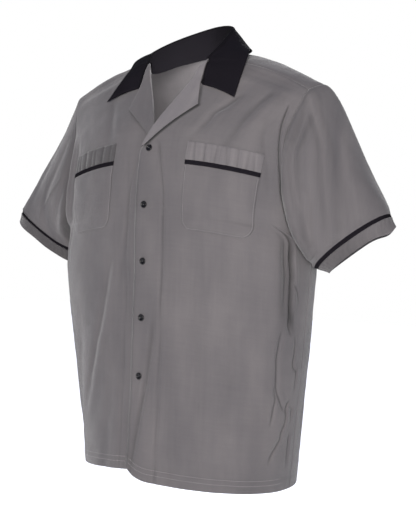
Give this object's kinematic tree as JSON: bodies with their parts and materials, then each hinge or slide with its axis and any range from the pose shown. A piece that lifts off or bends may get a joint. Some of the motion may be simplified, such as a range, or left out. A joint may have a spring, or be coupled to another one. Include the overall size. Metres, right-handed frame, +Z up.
{
  "type": "bowling shirt",
  "caption": "Short-sleeved camp shirt buttoned down the front, with a dark collar, grey lapels, piped chest pockets and piped sleeve bands, filled out as if worn.",
  "frame": {"origin": "middle of the neck opening, level with the neck seam, where the wearer's neck comes through", "axes": "+Z up, the front of the shirt faces -Y, the wearer's left is +X"},
  "size_m": [0.7773, 0.3004, 0.7896],
  "materials": {
    "grey_cloth": "matt woven cloth, fine grain",
    "black_cloth": "matt woven cloth",
    "black_button": "smooth, slightly glossy"
  },
  "bodies": {
    "root": {"back": "grey_cloth", "front_left": "grey_cloth", "front_right": "grey_cloth", "lapel_left": "grey_cloth", "lapel_right": "grey_cloth", "collar": "black_cloth", "sleeve_left": "grey_cloth", "sleeve_right": "grey_cloth", "sleeve_piping_left": "black_cloth", "sleeve_piping_right": "black_cloth", "sleeve_band_left": "grey_cloth", "sleeve_band_right": "grey_cloth", "pocket_left": "grey_cloth", "pocket_right": "grey_cloth", "pocket_piping_left": "black_cloth", "pocket_piping_right": "black_cloth", "pocket_band_left": "grey_cloth", "pocket_band_right": "grey_cloth", "button_1": "black_button", "button_2": "black_button", "button_3": "black_button", "button_4": "black_button", "button_5": "black_button"}
  },
  "joints": []
}
